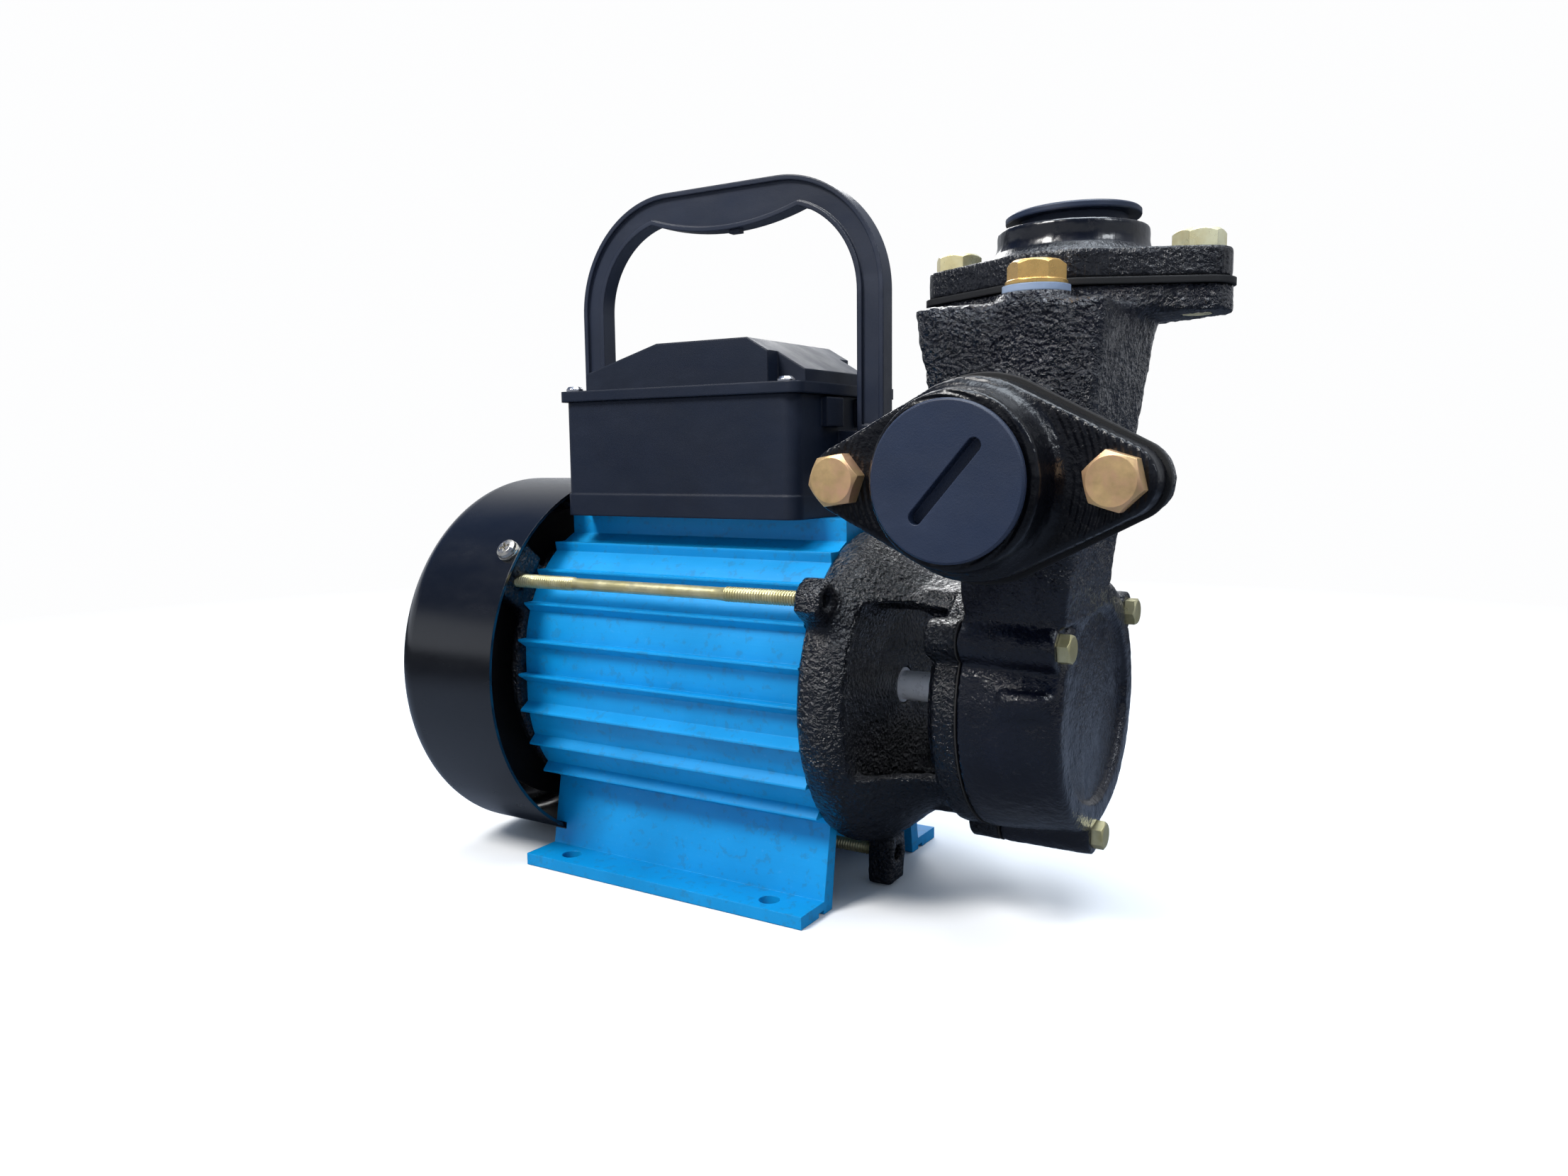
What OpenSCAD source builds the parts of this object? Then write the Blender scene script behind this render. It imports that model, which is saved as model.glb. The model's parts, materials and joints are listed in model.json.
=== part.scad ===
// Small self-priming monobloc water pump.
// +X runs along the shaft from the fan to the pump, +Z is up, and the origin is
// the centre of the four foot holes on the plane the feet stand on. Millimetres.
// "Rear" is the fan end (-X), "front" the pump end (+X). The suction port faces -Y
// and the delivery port faces up.

/* [Motor] */
// Height of the shaft above the ground
shaft_h = 71; // [66:0.5:80]
// Length of the ribbed motor body
body_len = 117.8; // [110:0.2:125]
// Half width of the motor body without ribs
body_r = 47.6; // [46:0.1:50]
// Inside radius of the motor body
bore_r = 44; // [42:0.1:45]
// How far the ribs stand out
rib_out = 4.2; // [2:0.1:6]
// Foot hole spacing along the shaft
foot_x = 86; // [80:1:100]
// Foot hole spacing across the shaft
foot_y = 87; // [80:1:100]
// Foot hole radius
foot_r = 3.5; // [3:0.1:4.5]
// Fan cover outside radius
cover_r = 70; // [68:0.5:75]
// Fan cover rear face position
cover_end = -104; // [-112:1:-100]

/* [Pump] */
// Port centre along the shaft
port_x = 126.6; // [120:1:132]
// Height of the suction port above the shaft
suction_up = 71.3; // [68:0.1:76]
// Bolt spacing of both port flanges
port_bolts = 73.4; // [70:0.2:78]
// Radius of the pipe thread opening in both ports
thread_r = 16; // [15:0.1:16.5]
// Radius of the pump drum
drum_r = 41.5; // [40:0.5:44]
// Angle above horizontal of the two upper tie rods and casing bolts
lug_a = 35; // [30:1:40]

/* [Terminal box and handle] */
// Terminal box depth, half
box_y = 34; // [32:0.2:38]
// Handle thickness
grip_t = 6.6; // [6:0.2:9]
// Top of the handle above the ground
grip_top = 244.4; // [235:0.2:250]

/* [Hidden] */
$fn = 72;
gap = 0.02; // play between parts that meet

// Motor
rear_x = -58.3; // end faces of the motor body
front_x = rear_x + body_len;
flat_z = 6.5; // half the height of the straight body sides
pad_top = 57.2; // terminal box seat above the shaft
core_half = 30; // half length of stator and rotor cores
stator_slots = 24;
lead_x = 38; // centre of the hole for the motor leads
lead_y = -8;
bearing_w = 10;
ball_path_r = 11;
shoulder_x = 60; // shaft shoulders that the bearings rest on
rear_bearing_x = -shoulder_x - gap - bearing_w; // rear faces of the bearings
front_bearing_x = shoulder_x + gap;
rod_circle_r = 59.8;
rod_hole_r = 2.52;
cover_rim_x = -54;
cover_screw_x = -58.6;

// Angles about the shaft: 0 points to -Y, 90 points up
rod_angles = [lug_a, 180 - lug_a, 270];
cover_screw_angles = [40, 140, 250];
bolt_angles = [for (angle = rod_angles) angle - 2];

// Pump
bolt_circle_r = 42;
lug_r = 6.6; // lugs around the casing bolts
bracket_face_x = 106.8;
casing_face_x = 107.3;
suction_z = shaft_h + suction_up;
suction_face_y = -68;
delivery_face_z = 195.5;
port_bore_r = 15;
gasket_t = 2; // gasket with its play, under each port flange
suction_plate_t = 9;
delivery_plate_t = 8.4;
plug_boss_top = 192.3;

// Terminal box
box_x0 = -49;
box_x1 = 48.8;
box_bottom = shaft_h + pad_top + 0.04;
box_top = 168.8;
box_wall = 2.6;
box_floor = box_bottom + box_wall;
lid_t = 3.7;
cable_x = -10;
lid_screw_xy = [[-46, 30.6], [-46, -30.6], [42.1, 28.2], [42.1, -28.2]];

// Handle, an arch with round corners, and its sockets on the box
side_screw_z = 152; // handle screws and cable grommet
corner_x = 23.6;
arch_outer_r = 41;
arch_inner_r = 31.2;
leg_outer_x = corner_x + arch_outer_r;
leg_inner_x = corner_x + arch_inner_r;
socket_end_x = 67;
arch_z = grip_top - arch_outer_r; // height of the corner centres

// Part shown: all, or one node by name

// ---------- helpers ----------
module x_cyl(x0, x1, radius) translate([x0, 0, 0]) rotate([0, 90, 0])
  cylinder(h = x1 - x0, r = radius);
module y_cyl(y0, y1, radius) translate([0, y1, 0]) rotate([90, 0, 0])
  cylinder(h = y1 - y0, r = radius);
// solid of revolution about X; the 2D child is drawn as (radius, x)
module revolve_x() rotate([0, 90, 0]) rotate_extrude() children();
// thickness from y0 to y1 for a 2D child drawn in (x, z)
module slab_y(y0, y1) translate([0, y1, 0]) rotate([90, 0, 0])
  linear_extrude(y1 - y0) children();
// thickness from x0 to x1 for a 2D child drawn in (y, z)
module slab_x(x0, x1) translate([x0, 0, 0]) rotate([90, 0, 90])
  linear_extrude(x1 - x0) children();

module on_shaft() translate([0, 0, shaft_h]) children();
// copies shifted, without turning, to polar places about the shaft
module place_polar(angles, radius) for (angle = angles)
  translate([0, -radius * cos(angle), radius * sin(angle)]) children();
// copies turned about the shaft from a child drawn towards -Y
module turn_to(angles) for (angle = angles) rotate([-angle, 0, 0]) children();
// count copies spread evenly about the shaft
module ring_of(count, start = 0) for (i = [0 : count - 1])
  rotate([i * 360 / count + start, 0, 0]) children();
module at_tie_rods() place_polar(rod_angles, rod_circle_r) children();
module at_cover_screws() turn_to(cover_screw_angles) translate([cover_screw_x, 0, 0]) children();

// hexagon head with a chamfered top, standing on z = 0
module hex_head(across_flats, height) {
  corner_r = across_flats / sqrt(3);
  intersection() {
    cylinder(h = height, r = corner_r, $fn = 6);
    rotate_extrude() polygon([[0, 0], [corner_r + 0.5, 0],
      [corner_r + 0.5, height - 0.12 * across_flats], [0.46 * across_flats, height], [0, height]]);
  }
}
module cross_slot(turn, z, size) for (angle = [0, 90])
  rotate([0, 0, angle + turn]) translate([0, 0, z]) cube(size, center = true);
// cross-head screw with its head standing on z = 0
module pan_screw(head_r, head_h, shank_r, shank_len) difference() {
  union() {
    rotate_extrude() polygon([[0, 0], [head_r, 0], [head_r, head_h * 0.45],
                              [head_r * 0.75, head_h * 0.9], [0, head_h]]);
    translate([0, 0, -shank_len]) cylinder(h = shank_len + 0.1, r = shank_r, $fn = 32);
  }
  cross_slot(20, head_h, [head_r * 1.1, head_r * 0.24, head_h]);
}

// ---------- motor ----------
// half width of the body at height z above or below the shaft
function half_width(z) = abs(z) < flat_z ? body_r
  : sqrt(body_r * body_r - (abs(z) - flat_z) * (abs(z) - flat_z));
rib_z = [0.6, 13.2, 26.2, 37.6, 47, -13.4, -26.4, -38.2];
// the faces away from shaft height are level: the top of upper ribs, the underside of lower
module rib_2d(side, z, out) {
  up = z >= 0 ? 1 : -1;
  width = half_width(z);
  polygon([[side * (width - 3), z], [side * (width + out), z],
           [side * (width + out), z - up * 0.7],
           [side * (half_width(z - up * 3.6) - 0.4), z - up * 3.6],
           [side * (width - 3), z - up * 3.6]]);
}
module leg_2d(side) {
  sole = -shaft_h;
  foot_top = sole + 4.2;
  arch = sole + 1.4;
  polygon([[side * 31.6, -42], [side * 36, foot_top], [side * 50.8, foot_top],
           [side * 50.8, sole], [side * 39.6, sole], [side * 39.6, arch], [side * 36.2, arch],
           [side * 36.2, sole], [side * 31, sole], [side * 27, -42],
           [side * 27, -36], [side * 31.6, -36]]);
}
module lead_hole(z, height) translate([lead_x, lead_y, z]) cylinder(h = height, r = 6, $fn = 48);
module at_box_screws(z) for (x = [-30, 14]) translate([x, 0, z]) children();

module motor_body() color([0.05, 0.47, 0.78]) difference() {
  on_shaft() union() {
    for (side = [-1, 1]) translate([0, 0, side * flat_z]) x_cyl(rear_x, front_x, body_r);
    translate([rear_x, -body_r + 0.02, -6.6]) cube([body_len, 2 * body_r - 0.04, 13.2]);
    // terminal box seat
    translate([rear_x, -19.7, 30]) cube([body_len, 39.4, pad_top - 30]);
    for (side = [-1, 1]) {
      // the topmost and lowest ribs reach 1 mm further
      for (z = rib_z)
        slab_x(rear_x, front_x) rib_2d(side, z, rib_out + (z > 40 || z < -30 ? 1 : 0));
      slab_x(rear_x, front_x) leg_2d(side);
    }
  }
  on_shaft() {
    x_cyl(rear_x - 1, front_x + 1, bore_r);
    // clearance for the rim of the fan cover
    revolve_x() translate([cover_r - 1.7, rear_x - 1])
      square([2.3, cover_rim_x + 0.8 - (rear_x - 1)]);
  }
  for (x = [-1, 1]) for (y = [-1, 1])
    translate([x * foot_x / 2, y * foot_y / 2, -1]) cylinder(h = 10, r = foot_r, $fn = 48);
  lead_hole(shaft_h + 40, 30);
  at_box_screws(shaft_h + 49) cylinder(h = 12, r = 2.05, $fn = 32);
}
module stator_core() color([0.45, 0.46, 0.48]) on_shaft() slab_x(-core_half, core_half)
  difference() {
    circle(r = bore_r - 0.03, $fn = 96);
    circle(r = 24.4, $fn = 96);
    for (i = [0 : stator_slots - 1])
      rotate((i + 0.5) * 360 / stator_slots) translate([26.6, -1.9]) square([11, 3.8]);
  }
module stator_windings() color([0.72, 0.38, 0.16]) on_shaft() {
  // coil ends, each with six notches
  for (flip = [0, 1]) mirror([flip, 0, 0]) difference() {
    revolve_x() union() {
      translate([27.5, 30.3]) square([13, 12]);
      translate([34, 41]) circle(r = 5.4, $fn = 40);
    }
    ring_of(6) translate([36, 0, 38]) cube([30, 3, 12], center = true);
  }
  // bars through the stator slots
  ring_of(stator_slots, 180 / stator_slots) translate([-31, 28, -1.8]) cube([62, 8.6, 3.6]);
}
module motor_leads() color([0.75, 0.1, 0.08]) for (i = [-1 : 1])
  translate([lead_x, lead_y + i * 4, shaft_h + 41.2]) cylinder(h = 20.7, r = 1.2, $fn = 24);
module rotor_core() color([0.5, 0.51, 0.53]) on_shaft() difference() {
  x_cyl(-core_half, core_half, 24);
  x_cyl(-core_half - 1, core_half + 1, 8.02);
}
module rotor_end_rings() color([0.78, 0.79, 0.8]) on_shaft()
  for (flip = [0, 1]) mirror([flip, 0, 0]) {
    difference() {
      x_cyl(core_half + gap, 35, 23.4);
      x_cyl(29, 36, 13);
    }
    // small blades on the end face
    ring_of(8) translate([34.5, 15.5, -1]) cube([6, 6.5, 2]);
  }
// [radius, x]
shaft_outline = [
  [0, -93], [4.5, -93], [5, -92.5], [5, -70.2], [6, -70.2], [6, -shoulder_x],
  [7, -shoulder_x], [7, -40], [8, -40], [8, 38], [7, 38], [7, shoulder_x], [6, shoulder_x],
  [6, 71], [5, 71], [5, 120.6], [4, 120.6], [4, 128.6], [3.4, 129.2], [0, 129.2]];
module motor_shaft() color([0.75, 0.76, 0.78]) on_shaft() difference() {
  union() {
    revolve_x() polygon(shaft_outline);
  }
  // keyway and clip groove
  translate([109.5, -1.5, 3.2]) cube([8, 3, 4]);
  revolve_x() translate([4.6, -91.4]) square([2, 1.1]);
}
module impeller_key() color([0.6, 0.61, 0.63]) on_shaft()
  translate([109.6, -1.45, 3.25]) cube([7.8, 2.9, 2.9]);

// [radius, x]
shield_outline = [
  [16.02, -72], [21, -72], [22.5, -64.5], [49, -63], [52, -62], [52, rear_x - gap],
  [43.9, rear_x - gap], [43.9, -54.5], [40, -54.5], [40, -59.5], [20, -59.5], [16.02, -59.5]];
module rear_end_shield() color([0.06, 0.06, 0.07]) on_shaft() difference() {
  union() {
    revolve_x() polygon(shield_outline);
    revolve_x() polygon([[6.6, -72], [17, -72], [17, -70.1], [6.6, -70.1]]);
    intersection() {
      union() {
        // ears for the tie rods, lugs for the cover screws
        turn_to(rod_angles) translate([-67, -75, -8.5]) cube([8.6, 30, 17]);
        turn_to(cover_screw_angles) {
          translate([-65, -75, -6]) cube([9.8, 17.6, 12]);
          translate([-65, -60, -6]) cube([rear_x - gap + 65, 12, 12]);
        }
      }
      x_cyl(-70, -50, 68.6);
    }
  }
  at_tie_rods() x_cyl(-70, -50, rod_hole_r);
  at_cover_screws() y_cyl(-75, -60, 1.72);
}
// ball bearing parts; rear_face is their -X side
module race(rear_face, inside_r, depth) color([0.7, 0.71, 0.73]) on_shaft()
  revolve_x() difference() {
    translate([inside_r, rear_face]) square([depth, bearing_w]);
    translate([ball_path_r, rear_face + bearing_w / 2]) circle(r = 3.05, $fn = 40);
  }
module outer_race(rear_face) race(rear_face, 13.3, 2.7);
module inner_race(rear_face) race(rear_face, 6.01, 2.6);
module balls(rear_face) color([0.85, 0.86, 0.88]) on_shaft() {
  ring_of(7) translate([rear_face + bearing_w / 2, 0, ball_path_r])
    rotate_extrude($fn = 40) intersection() {
      circle(r = 2.95, $fn = 40);
      translate([0, -4]) square([4, 8]);
    }
  // ring that joins the balls
  revolve_x() translate([10.2, rear_face + 4.1]) square([1.6, 1.8]);
}
module rear_bearing_outer_race() outer_race(rear_bearing_x);
module rear_bearing_inner_race() inner_race(rear_bearing_x);
module rear_bearing_balls() balls(rear_bearing_x);
module front_bearing_outer_race() outer_race(front_bearing_x);
module front_bearing_inner_race() inner_race(front_bearing_x);
module front_bearing_balls() balls(front_bearing_x);

module cooling_fan() color([0.1, 0.1, 0.11]) on_shaft() difference() {
  union() {
    // hub, disc and eight straight blades
    x_cyl(-90, -75.5, 11);
    revolve_x() polygon([[10, -79.2], [58, -77.4], [58, -75.6], [10, -76.4]]);
    ring_of(8) translate([-91, 9, -1]) cube([14.6, 47, 2]);
  }
  x_cyl(-100, -70, 5.03);
}
module fan_clip() color([0.3, 0.3, 0.32]) on_shaft() slab_x(-91.3, -90.4) difference() {
  circle(r = 8, $fn = 40);
  circle(r = 4.65, $fn = 40);
  translate([-1.6, -12]) square([3.2, 12]);
}
// half section of the cover as (radius, x), with a rounded rear corner
module cover_2d(radius, corner_r) {
  depth = cover_rim_x - cover_end;
  translate([0, cover_end]) square([radius - corner_r, depth]);
  translate([0, cover_end + corner_r]) square([radius, depth - corner_r]);
  translate([radius - corner_r, cover_end + corner_r]) circle(r = corner_r, $fn = 64);
}
module fan_cover() color([0.04, 0.04, 0.05]) on_shaft() difference() {
  sheet = 1.1;
  revolve_x() difference() {
    cover_2d(cover_r, 10);
    translate([0, sheet]) cover_2d(cover_r - sheet, 9);
  }
  // air inlet: broken ring slots in the rear face
  difference() {
    revolve_x() for (i = [0 : 4]) translate([13 + i * 9.2, cover_end - 1]) square([5.4, 4]);
    for (i = [0 : 2])
      rotate([i * 60, 0, 0]) translate([cover_end - 3, -70, -2.4]) cube([8, 140, 4.8]);
  }
  at_cover_screws() y_cyl(-75, -60, 2.2);
}
module fan_cover_washers() color([0.78, 0.78, 0.8]) on_shaft() at_cover_screws() difference() {
  y_cyl(-cover_r - 0.8, -cover_r - 0.01, 4.1);
  y_cyl(-75, -60, 2.1);
}
module fan_cover_screws() color([0.82, 0.82, 0.84]) on_shaft() at_cover_screws()
  translate([0, -cover_r - 0.8 - gap, 0]) rotate([90, 0, 0]) difference() {
    union() {
      rotate_extrude()
        polygon([[0, 0], [3.7, 0], [3.9, 0.6], [3.6, 1.6], [2.6, 2.3], [0, 2.5]]);
      translate([0, 0, -7.2]) cylinder(h = 8.2, r = 1.7, $fn = 32);
    }
    cross_slot(30, 2.2, [4, 0.9, 2]);
  }
// rods waisted between their thicker ends
module tie_rods() color([0.72, 0.62, 0.38]) on_shaft() at_tie_rods() revolve_x()
  polygon([[0, -66.5], [2, -66.5], [2.5, -66], [2.5, -33], [1.95, -32.5],
           [1.95, 28.5], [2.5, 29], [2.5, 64], [2, 64.5], [0, 64.5]]);

// ---------- bracket between motor and pump ----------
// side window, in (y, z) about the shaft
module window_2d(side) difference() {
  polygon([[side * 20, -21.6], [side * 20, 29], [side * 24, 31.5],
           [side * 70, 33], [side * 70, -22.4]]);
  circle(r = 22);
}
// motor-side ring, bearing seat and bell down to the back plate, [radius, x]
bell_outline = [
  [40.5, 55.5], [43.9, 55.5], [43.9, front_x + gap], [53.2, front_x + gap], [54, 60.4], [54, 66],
  [52.5, 69.5], [48.5, 75], [44, 80], [40.5, 85], [38.3, 91], [38.3, 100], [33, 100], [33, 91],
  [35, 85.5], [38, 81], [42, 76], [44, 71.5], [16.02, 71.5], [16.02, 60], [21, 60],
  [22.5, 66], [40.5, 66]];
// back plate with its seal hub, [radius, x]
back_plate_outline = [
  [5.6, 93], [16, 93], [17, 94], [17, 98.6], [drum_r - 0.8, 98.6], [drum_r, 99.4],
  [drum_r, bracket_face_x], [12.6, bracket_face_x], [12.6, 95.2], [5.6, 95.2]];
module front_bracket() color([0.05, 0.05, 0.06]) on_shaft() difference() {
  union() {
    revolve_x() polygon(bell_outline);
    revolve_x() polygon([[6.3, 70.05], [17, 70.05], [17, 71.5], [6.3, 71.5]]);
    revolve_x() polygon(back_plate_outline);
    at_tie_rods() x_cyl(front_x + gap, 69, 5.6);
    // ears behind the tie rod bosses; the lowest one is longer
    for (angle = rod_angles) rotate([-angle, 0, 0])
      translate([front_x + gap, angle == 270 ? -70.2 : -63.4, -6.3])
        cube([8.9, angle == 270 ? 22 : 15.6, 12.6]);
    place_polar(bolt_angles, bolt_circle_r) x_cyl(96.5, bracket_face_x, lug_r);
    // narrow webs along the bell
    turn_to([63, 117, 254, 286]) translate([70, -40, -1.8]) cube([29.5, 8, 3.6]);
  }
  for (side = [-1, 1]) slab_x(74, 96.2) window_2d(side);
  at_tie_rods() x_cyl(50, 80, rod_hole_r);
  place_polar(bolt_angles, bolt_circle_r) x_cyl(90, 110, 2.52);
}

// ---------- pump ----------
module bolt_circles(radius, facets) for (angle = bolt_angles)
  translate([-bolt_circle_r * cos(angle), bolt_circle_r * sin(angle)])
    circle(r = radius, $fn = facets);
module casing_gasket() color([0.12, 0.11, 0.1]) on_shaft()
  slab_x(bracket_face_x + gap, casing_face_x - gap) difference() {
    union() {
      circle(r = drum_r, $fn = 96);
      bolt_circles(lug_r, 40);
    }
    circle(r = 34);
    bolt_circles(2.7, 32);
  }
// tower between drum and delivery flange, shrunk by inset at the sides for the hollow
module tower(inset, bottom, top) intersection() {
  slab_y(-60, 40) polygon([
    [108 + inset, 100], [138.6 - inset, 100], [138.6 - inset, 104], [151 - inset, 190],
    [151 - inset, 200], [95 + inset, 200], [95 + inset, 190], [108 + inset, 104]]);
  slab_x(80, 170) polygon([
    [-38 + inset, 100], [19 - inset, 100], [24 - inset, 185],
    [24 - inset, 200], [-47.4 + inset, 200], [-47.4 + inset, 190]]);
  union() {
    translate([80, -60, bottom]) cube([90, 56, top - bottom]);
    intersection() {
      translate([123, -6, 100]) cylinder(h = 90, r1 = 17.4 - inset, r2 = 31.5 - inset);
      translate([80, -60, bottom]) cube([90, 120, top - bottom]);
    }
  }
}
// hollow of the tower from y0 over the given width
module tower_chamber(y0, width) intersection() {
  tower(4, 118, 186);
  translate([80, y0, 100]) cube([90, width, 90]);
}
// outline of the two-bolt flanges: round middle, round tips, straight flanks
module oval(middle_r, tip_r, height) {
  tip_x = port_bolts / 2;
  angle = acos((middle_r - tip_r) / tip_x);
  middle = (middle_r - 0.02) * [cos(angle), sin(angle)];
  tip = [tip_x, 0] + (tip_r - 0.02) * [cos(angle), sin(angle)];
  cylinder(h = height, r = middle_r);
  for (side = [-1, 1]) translate([side * tip_x, 0, 0]) cylinder(h = height, r = tip_r, $fn = 48);
  linear_extrude(height) polygon([
    [-tip[0], -tip[1]], [-middle[0], -middle[1]], [middle[0], -middle[1]], [tip[0], -tip[1]],
    tip, middle, [-middle[0], middle[1]], [-tip[0], tip[1]]]);
}
module at_port_bolts() for (side = [-1, 1]) translate([side * port_bolts / 2, 0, 0]) children();
module at_plug(z) translate([128.3, -36.6, z]) children();

// drum of the casing, [radius, x]
drum_outline = [
  [0, casing_face_x], [drum_r, casing_face_x], [drum_r, 113],
  [drum_r - 2, 136.2], [drum_r - 3.8, 137.8], [0, 137.8]];
module pump_casing() color([0.04, 0.04, 0.05]) difference() {
  union() {
    on_shaft() {
      revolve_x() polygon(drum_outline);
      place_polar(bolt_angles, bolt_circle_r) x_cyl(casing_face_x, 136.6, lug_r);
      // raised pad on the -Y flank
      translate([120, -42.6, 3]) cube([15, 8, 7]);
    }
    tower(0, 90, 190);
    // delivery flange, suction neck and flange, priming plug boss
    translate([port_x, 0, delivery_face_z - 7.8]) oval(26.5, 9.6, 7.8);
    translate([port_x, 0, suction_z]) {
      y_cyl(-61, -30, 23);
      translate([0, suction_face_y + 8, 0]) rotate([90, 0, 0]) oval(26.5, 9.6, 8);
    }
    at_plug(184) cylinder(h = plug_boss_top - 184, r = 10.6);
  }
  // below z = 113.2 nothing passes behind the joint face
  translate([90, -60, 60]) cube([casing_face_x - 90, 120, 53.2]);
  on_shaft() {
    // impeller chamber, suction chamber and the eye between them
    x_cyl(107, 119, 33);
    x_cyl(123, 131, 30);
    x_cyl(118, 124, 13);
    // shallow recess in the front face
    x_cyl(135.8, 139, 30.5);
    place_polar(bolt_angles, bolt_circle_r) {
      x_cyl(100, 140, 2.6);
      x_cyl(136.6, 141, 5.2);
    }
  }
  // suction side: priming chamber, and the duct down to the suction chamber
  tower_chamber(-60, 39);
  translate([124.4, -31, 92]) cube([6.4, 9.6, 30]);
  // delivery side: chamber, and the duct up from the impeller chamber
  tower_chamber(-17, 60);
  translate([109.8, -8, 95]) cube([8.6, 18, 28]);
  translate([port_x, 0, 180]) cylinder(h = 20, r = port_bore_r);
  translate([port_x, 0, suction_z]) y_cyl(-70, -34, port_bore_r);
  at_plug(180) cylinder(h = 20, r = 6.6);
  translate([port_x, 0, 180]) at_port_bolts() cylinder(h = 20, r = 4.02, $fn = 40);
  translate([port_x, 0, suction_z]) at_port_bolts() y_cyl(-70, -58, 4.02);
}
module casing_bolts() color([0.72, 0.7, 0.5]) on_shaft() for (i = [0 : 2])
  place_polar([bolt_angles[i]], bolt_circle_r) {
    translate([136.6 + gap, 0, 0]) rotate([0, 90, 0]) rotate([0, 0, 14 + i * 21])
      hex_head(8, 3.6);
    x_cyl(98, 137, 2.48);
  }
module impeller() color([0.75, 0.58, 0.25]) on_shaft() difference() {
  pockets = 28;
  union() {
    x_cyl(107.8, 121, 9.5);
    x_cyl(109.2, 118, 30.5);
  }
  x_cyl(100, 130, 5.02);
  translate([107, -1.5, 3]) cube([15, 3, 3.4]);
  // rim pockets on both faces, the front ones half a pitch on
  ring_of(pockets) translate([105, 23, -1.9]) cube([7.6, 10, 3.8]);
  ring_of(pockets, 180 / pockets) translate([114.6, 23, -1.9]) cube([8, 10, 3.8]);
  ring_of(4, 20) translate([0, 0, 16]) x_cyl(100, 130, 2.4);
}
module impeller_nut() color([0.74, 0.6, 0.28]) on_shaft()
  translate([121.04, 0, 0]) rotate([0, 90, 0]) difference() {
    rotate([0, 0, 10]) hex_head(13, 6.4);
    translate([0, 0, -1]) cylinder(h = 10, r = 4.02, $fn = 40);
  }
module seal_seat() color([0.85, 0.83, 0.78]) on_shaft()
  revolve_x() translate([5.7, 95.22]) square([6.86, 4]);
module seal_head() color([0.1, 0.1, 0.1]) on_shaft() revolve_x()
  polygon([[5.02, 99.24], [9, 99.24], [9, 101], [7.6, 101.4],
           [7.6, 105.6], [11.6, 105.6], [11.6, 107], [5.02, 107]]);
// three rings joined by two short bars
module seal_spring() color([0.8, 0.8, 0.82]) on_shaft() {
  start = 102;
  pitch = 1.4;
  coil_r = 9.3;
  for (i = [0 : 2]) revolve_x() translate([coil_r, start + i * pitch]) circle(r = 0.42, $fn = 20);
  for (i = [0 : 1]) rotate([i * 180, 0, 0]) translate([0, coil_r, 0])
    x_cyl(start + i * pitch, start + (i + 1) * pitch, 0.4);
}

// ---------- ports ----------
// port parts are drawn along +Z with z = 0 on the casing flange face
module at_suction(z = 0) translate([port_x, suction_face_y, suction_z]) rotate([90, 0, 0])
  translate([0, 0, z]) children();
module at_delivery(z = 0) translate([port_x, 0, delivery_face_z + z]) children();
module port_gasket() {
  difference() {
    oval(27.2, 10.3, gasket_t - 0.04);
    translate([0, 0, -1]) cylinder(h = 4, r = port_bore_r);
    at_port_bolts() translate([0, 0, -1]) cylinder(h = 4, r = 4.6, $fn = 40);
  }
}
// plate with a threaded boss; lip_r is the narrower opening at the plate
module port_flange(lip_r, plate_t, boss_h) difference() {
  union() {
    oval(25.8, 9.2, plate_t);
    rotate_extrude() polygon([
      [0, 1], [25.6, plate_t - 0.2], [23.9, plate_t + 0.8], [22.8, plate_t + 2.6],
      [22.3, plate_t + 4.4], [22.3, boss_h - 0.6], [21.8, boss_h], [0, boss_h]]);
  }
  translate([0, 0, 3]) cylinder(h = 25, r = thread_r);
  translate([0, 0, -1]) cylinder(h = 6, r = lip_r);
  at_port_bolts() translate([0, 0, -1]) cylinder(h = 20, r = 4.4, $fn = 40);
}
// turns = how far the heads of the -X and +X bolts are turned
module port_bolt_pair(turns, plate_t) for (i = [0, 1])
  translate([(i - 0.5) * port_bolts, 0, 0]) {
    translate([0, 0, plate_t + gap]) rotate([0, 0, turns[i]]) hex_head(13, 5.3);
    translate([0, 0, -9.6]) cylinder(h = plate_t + 10, r = 3.98, $fn = 40);
  }
// slotted cap; z = underside of the disc, tilt = lean of the disc
module port_cap(z, slot_turn, tilt) translate([0, 0, z]) difference() {
  slot_len = 26.5;
  slot_w = 3.7;
  union() {
    rotate([0, -tilt, 0]) rotate_extrude()
      polygon([[0, 0], [19.7, 0], [19.9, 0.4], [19.9, 1.6], [19.4, 2.1], [0, 2.1]]);
    translate([0, 0, -12]) cylinder(h = 12.6, r = thread_r - 0.08);
  }
  translate([0, 0, -13]) cylinder(h = 8.6, r = 13);
  translate([0, 0, -1.4]) rotate([0, 0, slot_turn]) linear_extrude(6) {
    square([slot_len - slot_w, slot_w], center = true);
    for (side = [-1, 1])
      translate([side * (slot_len - slot_w) / 2, 0]) circle(r = slot_w / 2, $fn = 32);
  }
}
module suction_gasket() color([0.06, 0.06, 0.06]) at_suction(gap) {
  port_gasket();
  // hinge strip above the flap
  translate([-4, 13.6, 0]) cube([8, 2.4, gasket_t - 0.04]);
}
module suction_flange() color([0.05, 0.05, 0.06])
  at_suction(gasket_t) port_flange(11, suction_plate_t, 21.2);
module suction_flange_bolts() color([0.8, 0.68, 0.42])
  at_suction(gasket_t) port_bolt_pair([9, 43], suction_plate_t);
module suction_cap() color([0.05, 0.06, 0.08]) at_suction(gasket_t) port_cap(22.7, 49, 0);
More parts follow.
